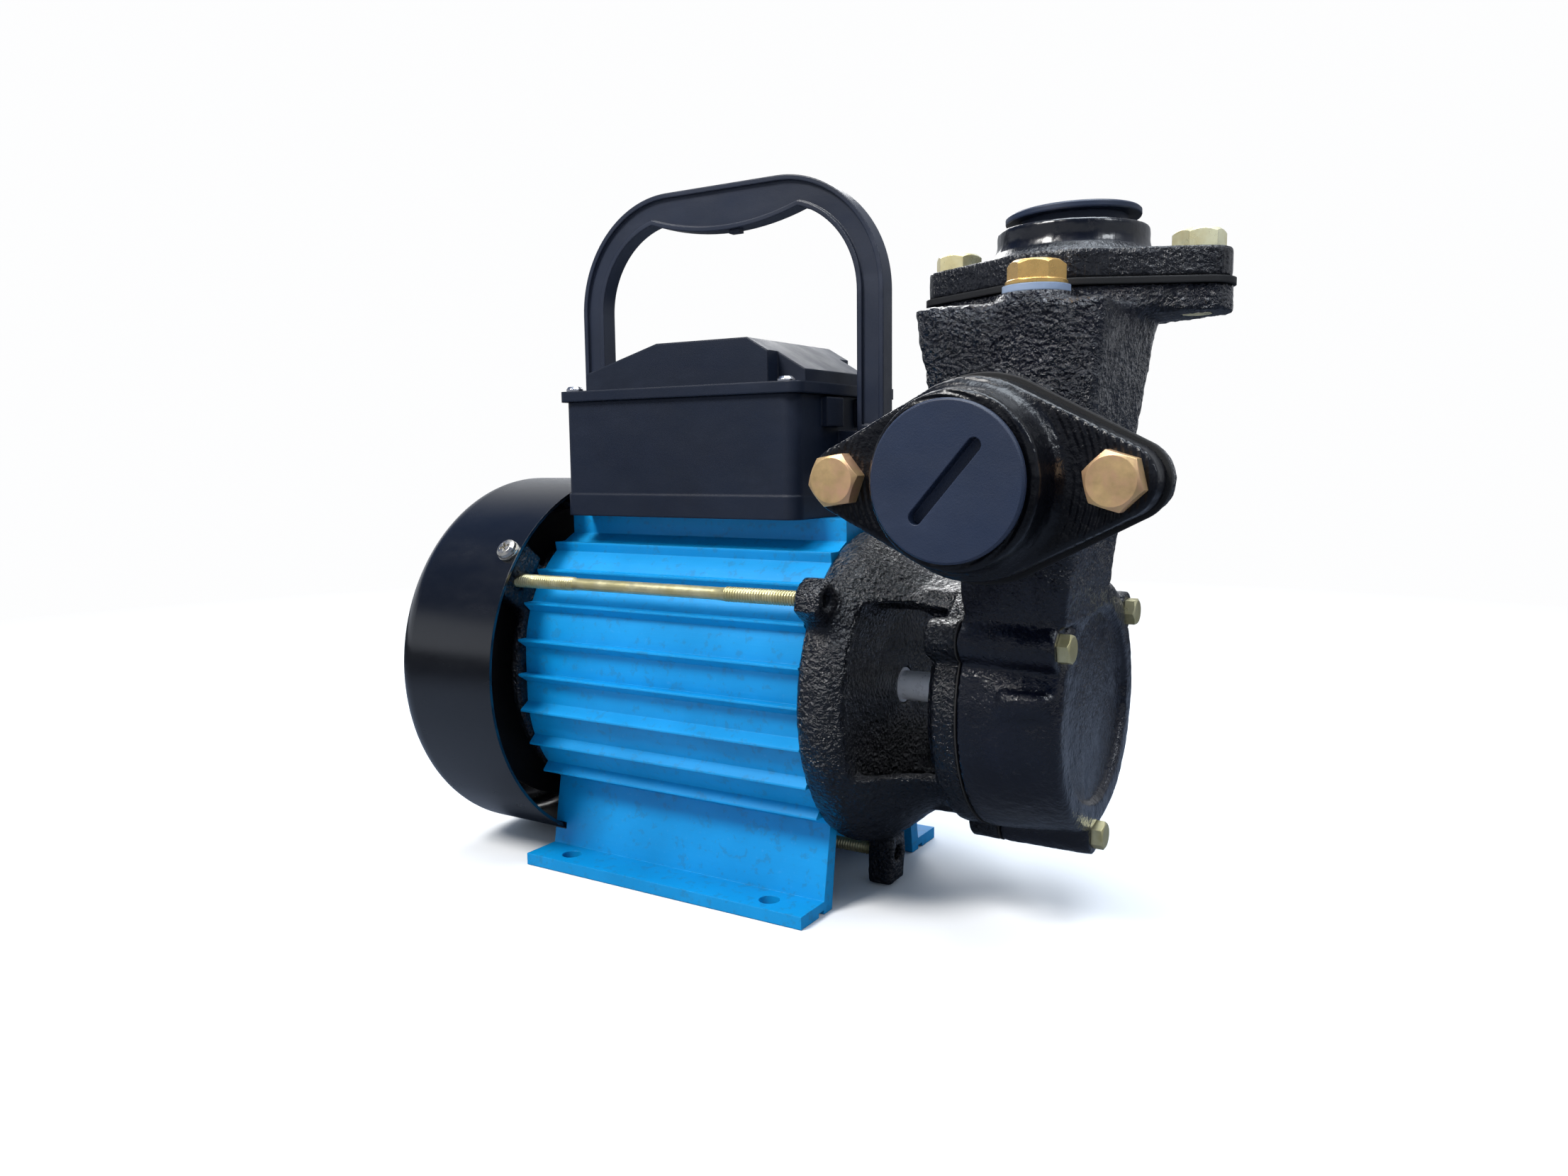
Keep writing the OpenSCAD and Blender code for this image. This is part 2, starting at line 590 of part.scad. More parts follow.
module suction_flap() color([0.08, 0.08, 0.08]) at_suction(-0.1) cylinder(h = 2.05, r = 12.6);
module suction_flap_weight() color([0.6, 0.6, 0.62]) at_suction(-2.15) cylinder(h = 2.03, r = 8);
module delivery_gasket() color([0.06, 0.06, 0.06]) at_delivery(gap) port_gasket();
module delivery_flange() color([0.05, 0.05, 0.06])
  at_delivery(gasket_t) port_flange(13, delivery_plate_t, 17.6);
module delivery_flange_bolts() color([0.8, 0.72, 0.45])
  at_delivery(gasket_t) port_bolt_pair([2, 22], delivery_plate_t);
module delivery_cap() color([0.05, 0.06, 0.08]) at_delivery(gasket_t) port_cap(20.3, 20, 2);
module priming_plug() color([0.78, 0.58, 0.2]) at_plug(plug_boss_top + 2.04) {
  rotate_extrude() polygon([[0, 0], [8.2, 0], [8.5, 0.3], [8.5, 1.2], [8.1, 1.5], [0, 1.5]]);
  translate([0, 0, 1.4]) rotate([0, 0, 12]) hex_head(14, 5.4);
  translate([0, 0, -10.5]) cylinder(h = 11, r = 6.5);
}
module priming_plug_washer() color([0.85, 0.88, 0.92]) at_plug(plug_boss_top + gap) difference() {
  cylinder(h = 1.98, r = 9.3);
  translate([0, 0, -1]) cylinder(h = 5, r = 6.6);
}

// ---------- terminal box ----------
// box plan inset at the rear (-X), at the front (+X) and at both sides; negative grows it
module box_2d(rear, front, sides, corner_r) {
  x0 = box_x0 + rear;
  x1 = box_x1 - front;
  y1 = box_y - sides;
  translate([x0 + corner_r, -y1]) square([x1 - x0 - 2 * corner_r, 2 * y1]);
  translate([x0, -y1 + corner_r]) square([x1 - x0, 2 * y1 - 2 * corner_r]);
  for (x = [x0 + corner_r, x1 - corner_r]) for (y = [-y1 + corner_r, y1 - corner_r])
    translate([x, y]) circle(r = corner_r, $fn = 48);
}
module lip_inside_2d() box_2d(9, 13.1, 10.6, 2);
module at_lid_screws(z) for (xy = lid_screw_xy) translate([xy[0], xy[1], z]) children();
module at_terminals(z) for (y = [-20, -12, -4, 4]) translate([38, y, z]) children();

module terminal_box_base() color([0.09, 0.095, 0.11]) difference() {
  union() {
    translate([0, 0, box_bottom]) linear_extrude(box_top - box_bottom) box_2d(0, 0, 0, 5);
    translate([0, 0, box_bottom]) linear_extrude(7.8) box_2d(-0.4, -0.4, -0.4, 5);
    // sockets for the handle legs
    translate([box_x1 - 1, -5.6, 144]) cube([socket_end_x - box_x1 + 1, 11.2, 13]);
    translate([-socket_end_x, -5.6, 144]) cube([24.4, 11.2, 13]);
    // two blocks on the front wall
    for (y = [6, -17]) translate([box_x1 - 1, y, 158.4]) cube([3.3, 11, 9.6]);
  }
  // hollow, leaving the screw posts
  difference() {
    translate([0, 0, box_floor]) linear_extrude(60) box_2d(box_wall, box_wall, box_wall, 3);
    at_lid_screws(box_bottom) cylinder(h = box_top - box_bottom, r = 4.2, $fn = 40);
  }
  at_lid_screws(box_top - 14) cylinder(h = 20, r = 1.52, $fn = 24);
  for (x = [-leg_outer_x, leg_inner_x]) translate([x - 0.05, -grip_t / 2 - 0.05, 147])
    cube([leg_outer_x - leg_inner_x + 0.1, grip_t + 0.1, 20]);
  translate([0, 0, side_screw_z]) {
    x_cyl(50, 80, 2.02);
    x_cyl(-80, -50.5, 2.02);
  }
  lead_hole(box_bottom - 1, 10);
  at_box_screws(box_bottom - 1) cylinder(h = 10, r = 2.2, $fn = 32);
  translate([cable_x, 0, side_screw_z]) y_cyl(30, 50, 8.02);
}
// raised lid roof and its hollow, [x, z]
roof_outline = [[-42.7, 171], [-42.7, 179], [-10.8, 187.9], [26.7, 187.9], [45.3, 177.1],
                [45.3, 171]];
roof_hollow = [[-40.1, 160], [-40.1, 176.5], [-10.3, 185.3], [26.2, 185.3], [42.7, 175.6],
               [42.7, 160]];
module terminal_box_lid() color([0.09, 0.095, 0.11]) difference() {
  union() {
    translate([0, 0, box_top + 0.04]) linear_extrude(lid_t) box_2d(-1.6, -2.1, -1.5, 4.5);
    // roof, cut back at both front corners
    difference() {
      slab_y(-27.5, 27.5) polygon(roof_outline);
      for (y = [21.2, -34.2]) translate([34.7, y, box_top + lid_t + 0.04]) cube([20, 13, 30]);
    }
    // locating lip under the lid
    translate([0, 0, box_top - 3]) linear_extrude(5) difference() {
      box_2d(7.4, 11.5, 9, 3);
      lip_inside_2d();
    }
  }
  // hollow, kept inside the lip up to just above the plate
  difference() {
    slab_y(-25, 25) polygon(roof_hollow);
    for (y = [18.8, -34.2]) translate([32, y, 160]) cube([20, 15.4, 30]);
    translate([0, 0, 160]) linear_extrude(box_top - 160 + 3.8) difference() {
      square([300, 300], center = true);
      lip_inside_2d();
    }
  }
  at_lid_screws(160) cylinder(h = 20, r = 1.9, $fn = 24);
}
module lid_screws() color([0.7, 0.7, 0.72])
  at_lid_screws(box_top + lid_t + 0.06) pan_screw(3, 2, 1.48, 14);
module box_fixing_screws() color([0.7, 0.7, 0.72])
  at_box_screws(box_floor + gap) pan_screw(3.6, 2.4, 2, 10);
module terminal_block() color([0.75, 0.72, 0.65]) difference() {
  union() {
    translate([31, -23.6, 133]) cube([14, 33.2, 12]);
    // two feet, and ridges between the terminals
    for (y = [-22, 6]) translate([33, y, box_floor + gap]) cube([10, 2, 4]);
    for (y = [-16, -8, 0, 8]) translate([31, y - 0.7, 144]) cube([14, 1.4, 3]);
  }
  at_terminals(137) cylinder(h = 20, r = 2.02, $fn = 32);
}
module terminal_screws() color([0.78, 0.6, 0.25])
  at_terminals(145 + gap) pan_screw(3, 1.8, 1.98, 7.5);
module capacitor() color([0.82, 0.83, 0.85]) translate([-3, 15.5, box_floor + 0.04 + 15]) {
  revolve_x() polygon([[0, -32], [14, -32], [15, -31], [15, 29], [14, 30], [12, 30],
                       [12, 31.6], [0, 31.6]]);
  for (y = [-4, 4]) translate([31, y - 0.5, -3]) cube([6, 1, 6]);
}
module cable_grommet() color([0.05, 0.05, 0.05])
  translate([cable_x, 0, side_screw_z]) rotate([-90, 0, 0]) rotate_extrude() polygon([
    [4.5, box_y - 3.4], [9.6, box_y - 3.4], [10.4, box_y - 2.7], [8, box_y - 2.7],
    [8, box_y + 0.06], [11, box_y + 0.06], [10.2, box_y + 3], [7, box_y + 7.6],
    [4.5, box_y + 7.6]]);

// ---------- handle ----------
// filled arch in (x, z) about the corner centres, with legs of the given length
module arch_2d(radius, leg) {
  half = corner_x + radius;
  for (side = [-1, 1]) translate([side * corner_x, 0]) circle(r = radius, $fn = 96);
  translate([-corner_x, 0]) square([2 * corner_x, radius]);
  translate([-half, -leg]) square([2 * half, leg]);
}
// handle outline shrunk by inset and cut off below bottom
module grip_2d(inset, bottom) intersection() {
  difference() {
    arch_2d(arch_outer_r - inset, 200);
    difference() {
      arch_2d(arch_inner_r + inset, 201);
      // the underside of the grip bulges down
      translate([1.2, 127.6]) circle(r = 102.3 - inset, $fn = 160);
    }
  }
  translate([-80, bottom]) square([160, 200]);
}
module handle() color([0.07, 0.075, 0.09]) translate([0, 0, arch_z]) difference() {
  union() {
    slab_y(-grip_t / 2, grip_t / 2) grip_2d(0, 147 + gap - arch_z);
    // small nib under the middle of the grip
    slab_y(-1.4, 1.4) translate([2.6, 24.1]) square([4.4, 2.6]);
  }
  // recess 1.2 deep in both faces
  for (y = [grip_t / 2 - 1.2, -grip_t / 2 - 1]) slab_y(y, y + 2.2) grip_2d(1.7, 159 - arch_z);
  translate([0, 0, side_screw_z - arch_z]) {
    x_cyl(50, 70, 2.05);
    x_cyl(-70, -50, 2.05);
  }
}
module handle_screws() color([0.7, 0.7, 0.72]) for (side = [-1, 1])
  translate([side * (socket_end_x + 0.04), 0, side_screw_z]) rotate([0, side * 90, 0])
    pan_screw(3.6, 2.4, 1.98, 13.5);

motor_body();
stator_core();
stator_windings();
motor_leads();
rotor_core();
rotor_end_rings();
motor_shaft();
impeller_key();
rear_end_shield();
rear_bearing_outer_race();
rear_bearing_inner_race();
rear_bearing_balls();
front_bearing_outer_race();
front_bearing_inner_race();
front_bearing_balls();
cooling_fan();
fan_clip();
fan_cover();
fan_cover_washers();
fan_cover_screws();
tie_rods();
front_bracket();
casing_gasket();
pump_casing();
casing_bolts();
impeller();
impeller_nut();
seal_seat();
seal_head();
seal_spring();
suction_gasket();
suction_flange();
suction_flange_bolts();
suction_flap();
suction_flap_weight();
suction_cap();
delivery_gasket();
delivery_flange();
delivery_flange_bolts();
delivery_cap();
priming_plug();
priming_plug_washer();
terminal_box_base();
terminal_box_lid();
lid_screws();
box_fixing_screws();
terminal_block();
terminal_screws();
capacitor();
cable_grommet();
handle();
handle_screws();
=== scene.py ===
"""Electric pump: a blue motor with a black cast pump casing at its +X end.

The motor axis runs along X, 71 mm above z = 0. The suction flange is on the -Y side of the
casing and the delivery flange on its top. The cast pieces and threaded studs are rebuilt here;
the other pieces keep their CAD meshes. Lengths are in metres.
"""
import math, json
import bpy, bmesh
import numpy as np
from mathutils import Vector, Matrix, noise

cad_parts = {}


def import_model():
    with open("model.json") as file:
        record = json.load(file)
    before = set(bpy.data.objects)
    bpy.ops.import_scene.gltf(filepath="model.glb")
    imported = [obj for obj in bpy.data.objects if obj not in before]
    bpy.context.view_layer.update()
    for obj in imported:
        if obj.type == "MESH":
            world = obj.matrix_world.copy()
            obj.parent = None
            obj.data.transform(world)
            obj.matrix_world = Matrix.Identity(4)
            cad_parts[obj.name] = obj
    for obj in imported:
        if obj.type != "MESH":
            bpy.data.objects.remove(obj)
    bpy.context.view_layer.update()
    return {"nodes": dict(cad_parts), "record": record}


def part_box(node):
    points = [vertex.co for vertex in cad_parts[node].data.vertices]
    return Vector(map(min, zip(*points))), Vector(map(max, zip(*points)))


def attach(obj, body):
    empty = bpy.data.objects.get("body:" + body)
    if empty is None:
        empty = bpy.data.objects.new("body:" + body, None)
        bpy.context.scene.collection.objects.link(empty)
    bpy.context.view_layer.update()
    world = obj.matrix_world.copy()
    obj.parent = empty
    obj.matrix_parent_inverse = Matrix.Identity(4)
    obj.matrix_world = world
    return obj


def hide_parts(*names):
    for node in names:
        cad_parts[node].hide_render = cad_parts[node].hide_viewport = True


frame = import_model()
NODES = frame["nodes"]
SLOTS = {part["node"]: part["material_slot"] for part in frame["record"]["subparts"]}
SCENE = bpy.context.scene

AXIS_Z = 0.071                # height of the motor axis
PORT_X = 0.1266               # both ports are centred on this x
SUCTION_Z = 0.1423            # height of the suction port axis


# ------------------------------------------------------------------ shader nodes
def linear(rgb):
    """8-bit sRGB to linear colour."""
    parts = [part / 255.0 for part in rgb]
    return tuple(p / 12.92 if p <= 0.04045 else ((p + 0.055) / 1.055) ** 2.4 for p in parts)


def shade(color, factor, lift=0.0):
    return tuple(min(1, part * factor + lift) for part in color)


class Graph:
    """Short calls that build the node tree of a material or a world."""

    def __init__(self, owner, output, coords):
        owner.use_nodes = True
        self.nodes = owner.node_tree.nodes
        self.links = owner.node_tree.links
        self.nodes.clear()
        self.owner = owner
        self.output = self.node(output)
        self.coords = self.node("TexCoord").outputs[coords]

    def node(self, kind, inputs=None, **settings):
        """Add a node; an input value is a socket to link, a number or a tuple."""
        node = self.nodes.new("ShaderNode" + kind)
        for key, value in settings.items():
            setattr(node, key, value)
        for key, value in (inputs or {}).items():
            socket = node.inputs[key]
            if isinstance(value, bpy.types.NodeSocket):
                self.links.new(value, socket)
            else:
                socket.default_value = (*value, 1.0) if socket.type == "RGBA" else value
        return node

    def finish(self, shader):
        self.links.new(shader.outputs[0], self.output.inputs[0])
        return self.owner

    def noise(self, scale, detail=3.0, roughness=0.55, stretch=None, distortion=0.0):
        vector = self.coords
        if stretch:
            vector = self.node("Mapping", {"Vector": vector, "Scale": stretch}).outputs[0]
        return self.node("TexNoise", {
            "Vector": vector, "Scale": scale, "Detail": detail,
            "Roughness": roughness, "Distortion": distortion}).outputs[0]

    def xyz(self):
        return self.node("SeparateXYZ", {0: self.coords}).outputs

    def ramp(self, factor, stops):
        """stops: (position, linear colour)."""
        node = self.node("ValToRGB", {0: factor})
        elements = node.color_ramp.elements
        while len(elements) < len(stops):
            elements.new(0.5)
        for element, (position, color) in zip(elements, stops):
            element.position = position
            element.color = (*color, 1.0)
        return node.outputs[0]

    def mask(self, factor, black, white):
        return self.ramp(factor, [(black, (0, 0, 0)), (white, (1, 1, 1))])

    def remap(self, value, span, to=(0.0, 1.0)):
        return self.node("MapRange", dict(enumerate((value, *span, *to)))).outputs[0]

    def mix(self, factor, first, second):
        node = self.node("Mix", data_type="RGBA", inputs={0: factor, 6: first, 7: second})
        return node.outputs[2]

    def math(self, operation, first, second=0.0):
        return self.node("Math", {0: first, 1: second}, operation=operation).outputs[0]

    def times(self, first, second):
        return self.math("MULTIPLY", first, second)

    def plus(self, first, second):
        return self.math("ADD", first, second)

    def bevel(self, radius):
        return self.node("Bevel", {"Radius": radius}, samples=6).outputs[0]

    def bump(self, height, distance, normal=None):
        inputs = {"Strength": 1.0, "Distance": distance, "Height": height}
        if normal is not None:
            inputs["Normal"] = normal
        return self.node("Bump", inputs).outputs[0]


def new_material(name):
    return Graph(bpy.data.materials.new(name), "OutputMaterial", "Object")


# ------------------------------------------------------------------ materials
MID = (0.3, 0.7)              # the span that most of a noise's values fall in
CALM_Z = (0.108, 0.128)       # the casing's skin turns from smooth to sandy over this height
TURNED_Z = 0.2070             # the delivery flange's sand texture fades out above this
RING_PITCH = 0.0017           # spacing of the turned rings on the suction flange
RING_OFFSET = 0.004           # the rings' centre lies this far to -X of the port axis


def cast(name, rgb, roughness, grain, lump, sheen=0.25, texture=0.35, specular=0.5,
         coat=0.25, calm=False, marks=None):
    """Glossy enamel over sand casting: pits, lumps, dusty patches and patches of painted
    bluish sheen that stands for the sky.

    grain and lump are bump depths, texture is the weakest local share of the grain.
    """
    m = new_material(name)
    color = linear(rgb)
    # painted reflection: random patches lighter and bluer, standing for the sky seen in the
    # gloss; sheen adds to their blue
    sky_sheen = (color[0] * 1.3, color[1] * 1.45, color[2] * (1.6 + sheen))
    patches = m.noise(scale=28.0, detail=4.0, roughness=0.6)
    base = m.ramp(patches, [(0.32, shade(color, 0.75)), (0.55, color), (0.75, sky_sheen)])
    dust = m.mask(m.noise(scale=330.0, detail=5.0, roughness=0.7), black=0.6, white=0.78)
    base = m.mix(m.times(dust, 0.22), base, (0.045, 0.042, 0.04))
    rough = m.plus(m.remap(patches, span=MID, to=(roughness - 0.07, roughness + 0.12)),
                   m.times(dust, 0.18))

    # sand texture: two grains and fine pits, stronger in some areas than others
    medium = m.noise(scale=390.0, detail=4.0, roughness=0.62)
    fine = m.noise(scale=980.0, roughness=0.6, distortion=0.5)
    pits = m.node("TexVoronoi", {"Vector": m.coords, "Scale": 760.0}).outputs["Distance"]
    height = m.plus(m.times(medium, 0.55), m.times(fine, 0.45))
    height = m.plus(height, m.times(pits, 0.25))
    areas = m.noise(scale=46.0, detail=2.0)
    height = m.times(height, m.remap(areas, span=(0.38, 0.62), to=(texture, 1.2)))
    if calm:
        wander = m.times(m.noise(scale=60.0, detail=2.0), 0.03)
        level = m.plus(m.xyz()[2], wander)
        height = m.times(height, m.remap(level, span=CALM_Z, to=(0.22, 1.0)))
    if marks == "file":
        below = m.remap(m.xyz()[2], span=(TURNED_Z, TURNED_Z + 0.0012), to=(1.0, 0.06))
        height = m.times(height, below)
    normal = m.bump(height, distance=grain)
    normal = m.bump(m.noise(scale=120.0, roughness=0.5), distance=lump, normal=normal)

    if marks == "rings":
        x, _, z = m.xyz()
        dx = m.math("SUBTRACT", x, PORT_X - RING_OFFSET)
        dz = m.math("SUBTRACT", z, SUCTION_Z)
        radius = m.math("SQRT", m.plus(m.times(dx, dx), m.times(dz, dz)))
        wave = m.math("SINE", m.times(radius, 2 * math.pi / RING_PITCH))
        wave = m.times(wave, m.remap(m.noise(scale=60.0, detail=2.0), span=(0.42, 0.6)))
        normal = m.bump(wave, distance=0.00011, normal=normal)
    if marks == "file":
        strokes = m.noise(scale=900.0, roughness=0.6, stretch=(1.0, 1.0, 0.06))
        normal = m.bump(m.times(strokes, below), distance=0.0006, normal=normal)
    return m.finish(m.node("BsdfPrincipled", {
        "Base Color": base, "Roughness": rough, "Normal": normal, "Coat Normal": normal,
        "Specular IOR Level": specular, "Coat Weight": coat, "Coat Roughness": 0.07}))


def enamel(name, rgb):
    """Satin enamel on an extrusion: faint die lines along X, specks, chips on sharp edges."""
    m = new_material(name)
    color = linear(rgb)
    patches = m.noise(scale=26.0, detail=4.0, roughness=0.6)
    base = m.ramp(patches, [(0.3, shade(color, 0.86)), (0.7, shade(color, 1.08))])
    specks = m.mask(m.noise(scale=700.0, detail=2.0, roughness=0.5), black=0.66, white=0.72)
    edges = m.mask(m.node("NewGeometry").outputs["Pointiness"], black=0.52, white=0.58)
    broken = m.mask(m.noise(scale=260.0, detail=4.0, roughness=0.7), black=0.56, white=0.62)
    base = m.mix(m.times(specks, 0.03), base, (0.4, 0.6, 0.75))
    base = m.mix(m.times(m.times(edges, broken), 0.3), base, (0.02, 0.10, 0.17))
    die_lines = m.noise(scale=520.0, roughness=0.6, stretch=(0.02, 1.0, 1.0))
    normal = m.bump(m.noise(scale=480.0, detail=2.0), distance=0.00003,
                    normal=m.bevel(radius=0.00035))
    normal = m.bump(die_lines, distance=0.00005, normal=normal)
    return m.finish(m.node("BsdfPrincipled", {
        "Base Color": base, "Roughness": m.remap(patches, span=MID, to=(0.4, 0.54)),
        "Normal": normal, "Specular IOR Level": 0.25, "Coat Weight": 0.06,
        "Coat Roughness": 0.3}))


def moulded(name, rgb, roughness=0.5, grain=0.00002, bevel=0.0007, smears=0.2, coat=0.0,
            specular=0.45):
    """Textured moulded plastic with rounded edges and faint handling marks."""
    m = new_material(name)
    color = linear(rgb)
    patches = m.noise(scale=20.0, detail=4.0, roughness=0.6)
    base = m.ramp(patches, [(0.3, shade(color, 0.8)), (0.7, shade(color, 1.2))])
    smear = m.noise(scale=90.0, detail=5.0, roughness=0.65, stretch=(0.4, 1.0, 1.0))
    base = m.mix(m.times(m.remap(smear, span=(0.58, 0.75)), smears), base,
                 shade(color, 2.2, lift=0.004))
    spark = m.noise(scale=2600.0, detail=2.0, roughness=0.5)
    return m.finish(m.node("BsdfPrincipled", {
        "Base Color": base,
        "Roughness": m.remap(smear, span=MID, to=(roughness - 0.08, roughness + 0.08)),
        "Normal": m.bump(spark, distance=grain, normal=m.bevel(bevel)),
        "Specular IOR Level": specular, "Coat Weight": coat, "Coat Roughness": 0.16}))


def metal(name, rgb, roughness, variation=0.15, scratch=None, bevel=0.0002, tint=None,
          metallic=1.0):
    """Plated or plain metal: blotchy plating, fine scratches, patches of a second tint."""
    m = new_material(name)
    color = linear(rgb)
    blotches = m.noise(scale=210.0, detail=5.0, roughness=0.65)
    base = m.ramp(blotches, [(0.3, shade(color, 1 - variation)),
                             (0.7, shade(color, 1 + variation))])
    if tint:
        tinted = m.mask(m.noise(scale=110.0, roughness=0.6), black=0.42, white=0.62)
        base = m.mix(tinted, base, linear(tint))
    scratches = m.noise(scale=1500.0, roughness=0.6, stretch=scratch)
    rough = (max(0.05, roughness - 0.08), roughness + 0.1)
    return m.finish(m.node("BsdfPrincipled", {
        "Base Color": base, "Roughness": m.remap(blotches, span=MID, to=rough),
        "Metallic": metallic,
        "Normal": m.bump(scratches, distance=0.00002, normal=m.bevel(bevel))}))


DRAWN = (8.0, 0.3, 0.3)       # scratch stretch of the steel parts

# material: (maker, sRGB colour, settings)
RECIPES = {
    "blue_paint": (enamel, (0, 131, 190), {}),
    "cast_black": (cast, (4, 6, 16), dict(
        roughness=0.2, grain=0.0028, lump=0.0004, calm=True, specular=0.22, coat=0.75)),
    "cast_black_rough": (cast, (3, 4, 9), dict(
        roughness=0.2, grain=0.0022, lump=0.0005, sheen=0.15, texture=0.6, specular=0.2,
        coat=0.75)),
    "flange_rings": (cast, (4, 5, 10), dict(
        roughness=0.3, grain=0.0003, lump=0.00014, sheen=0.4, marks="rings", specular=0.3,
        coat=0.12)),
    "flange_filed": (cast, (6, 7, 13), dict(
        roughness=0.24, grain=0.0008, lump=0.0002, sheen=0.3, marks="file")),
    "cover_black": (moulded, (6, 7, 10), dict(
        roughness=0.22, grain=0.00001, bevel=0.0003, smears=0.05, coat=0.7)),
    "black_plastic": (moulded, (14, 22, 37), dict(grain=0.00003, bevel=0.0009, specular=0.3)),
    # glossier and lighter than black_plastic: the lighter colour is painted light for the
    # handle's brightly lit top
    "handle_plastic": (moulded, (26, 32, 46), dict(roughness=0.38)),
    "cap_plastic": (moulded, (24, 35, 56), dict(roughness=0.46, grain=0.00004, bevel=0.0004)),
    "fan_plastic": (moulded, (24, 24, 26), {}),
    "lamination": (metal, (120, 122, 126), dict(roughness=0.4, scratch=(12.0, 0.2, 0.2))),
    "copper": (metal, (184, 96, 45), dict(roughness=0.32)),
    "lead_red": (moulded, (150, 25, 20), dict(roughness=0.45)),
    "rotor_alloy": (metal, (190, 192, 196), dict(roughness=0.38)),
    "steel": (metal, (190, 190, 194), dict(roughness=0.24, scratch=DRAWN)),
    # near-white, mostly non-metallic steel: painted highlight, so the shaft in the shaded
    # bracket window reads as bright as lit steel
    "shaft_steel": (metal, (236, 236, 240), dict(
        roughness=0.3, variation=0.08, scratch=DRAWN, metallic=0.2)),
    "bearing_steel": (metal, (205, 206, 210), dict(roughness=0.14)),
    "chrome_screw": (metal, (205, 200, 190), dict(roughness=0.26, bevel=0.00015)),
    "zinc_yellow": (metal, (206, 172, 122), dict(
        roughness=0.36, variation=0.16, bevel=0.0003, tint=(214, 168, 132), metallic=0.72)),
    "zinc_pale": (metal, (200, 192, 152), dict(
        roughness=0.34, variation=0.14, bevel=0.0003, tint=(184, 174, 128), metallic=0.75)),
    "zinc_bright": (metal, (232, 226, 186), dict(
        roughness=0.3, variation=0.12, bevel=0.0003, tint=(214, 200, 150), metallic=0.6)),
    "brass": (metal, (222, 180, 110), dict(
        roughness=0.28, variation=0.14, bevel=0.0003, metallic=0.85)),
    "nylon": (moulded, (128, 142, 164), dict(roughness=0.4, bevel=0.0004)),
    "rubber": (moulded, (14, 14, 15), dict(roughness=0.6, grain=0.00004)),
    "gasket_paper": (moulded, (30, 28, 27), dict(roughness=0.75, grain=0.00005, bevel=0.0001)),
    "ceramic": (moulded, (214, 208, 196), dict(roughness=0.2)),
    "seal_black": (moulded, (24, 24, 26), dict(roughness=0.4)),
    "capacitor_can": (moulded, (210, 212, 216), dict(roughness=0.35)),
    "bakelite": (moulded, (184, 176, 158), dict(roughness=0.45)),
}
MATERIALS = {name: make(name, rgb, **settings)
             for name, (make, rgb, settings) in RECIPES.items()}

# pieces whose look differs from the material of their slot
OWN_LOOK = {
    "casing_bolts": "zinc_pale", "tie_rods": "zinc_pale", "suction_flange": "flange_rings",
    "delivery_flange": "flange_filed", "delivery_flange_bolts": "zinc_bright",
    "motor_shaft": "shaft_steel", "handle": "handle_plastic",
}
for name, piece in NODES.items():
    piece.data.materials.clear()
    piece.data.materials.append(MATERIALS[OWN_LOOK.get(name, SLOTS[name])])


# ------------------------------------------------------------------ mesh tools
def mesh_object(name, verts, faces, material, smooth=True):
    mesh = bpy.data.meshes.new(name)
    mesh.from_pydata([tuple(v) for v in verts], [], faces)
    mesh.validate()
    mesh.materials.append(material)
    if smooth:
        mesh.polygons.foreach_set("use_smooth", [True] * len(mesh.polygons))
    mesh.update()
    obj = bpy.data.objects.new(name, mesh)
    SCENE.collection.objects.link(obj)
    return obj


def stand_in(obj, node):
    """Put obj in the place of a CAD piece."""
    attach(obj, "pump_unit")
    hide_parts(node)


def remeshed(node, voxel):
    """Voxel mesh of a CAD piece: vertex array, face list, edge array."""
    mesh = bpy.data.meshes.new("tmp_" + node)
    bm = bmesh.new()
    bm.from_mesh(NODES[node].data)
    bmesh.ops.remove_doubles(bm, verts=bm.verts, dist=2e-6)
    bm.to_mesh(mesh)
    bm.free()
    obj = bpy.data.objects.new("tmp_" + node, mesh)
    SCENE.collection.objects.link(obj)
    remesh = obj.modifiers.new("remesh", "REMESH")
    remesh.mode = "VOXEL"
    remesh.voxel_size = voxel
    bpy.context.view_layer.update()
    evaluated = obj.evaluated_get(bpy.context.evaluated_depsgraph_get())
    result = evaluated.to_mesh()
    verts = np.empty(len(result.vertices) * 3)
    result.vertices.foreach_get("co", verts)
    faces = [tuple(polygon.vertices) for polygon in result.polygons]
    edges = np.empty(len(result.edges) * 2, dtype=np.int64)
    result.edges.foreach_get("vertices", edges)
    evaluated.to_mesh_clear()
    bpy.data.objects.remove(obj)
    bpy.data.meshes.remove(mesh)
    return verts.reshape(-1, 3), faces, edges.reshape(-1, 2)


def relax(verts, edges, weight, times):
    """Move each vertex towards the mean of its neighbours, half way where weight is 1."""
    count = len(verts)
    here = np.concatenate([edges[:, 0], edges[:, 1]])
    there = np.concatenate([edges[:, 1], edges[:, 0]])
    degree = np.maximum(np.bincount(here, minlength=count), 1)[:, None]
    verts = verts.copy()
    step = (0.5 * weight)[:, None]
    for _ in range(times):
        sums = [np.bincount(here, weights=verts[there, k], minlength=count) for k in range(3)]
        verts += step * (np.stack(sums, 1) / degree - verts)
    return verts


def vertex_normals(verts, faces):
    # a triangle repeats its last corner
    quads = np.array([f if len(f) == 4 else (f[0], f[1], f[2], f[2]) for f in faces])
    across = np.cross(verts[quads[:, 2]] - verts[quads[:, 0]],
                      verts[quads[:, 3]] - verts[quads[:, 1]])
    sums = np.zeros_like(verts)
    for k in range(4):
        for c in range(3):
            sums[:, c] += np.bincount(quads[:, k], weights=across[:, c], minlength=len(verts))
    return sums / np.maximum(np.linalg.norm(sums, axis=1), 1e-12)[:, None]


# ------------------------------------------------------------------ cast pieces
LUMPS = ((150.0, 0.8), (330.0, 1.0), (700.0, 0.8))   # noise frequency per metre, weight

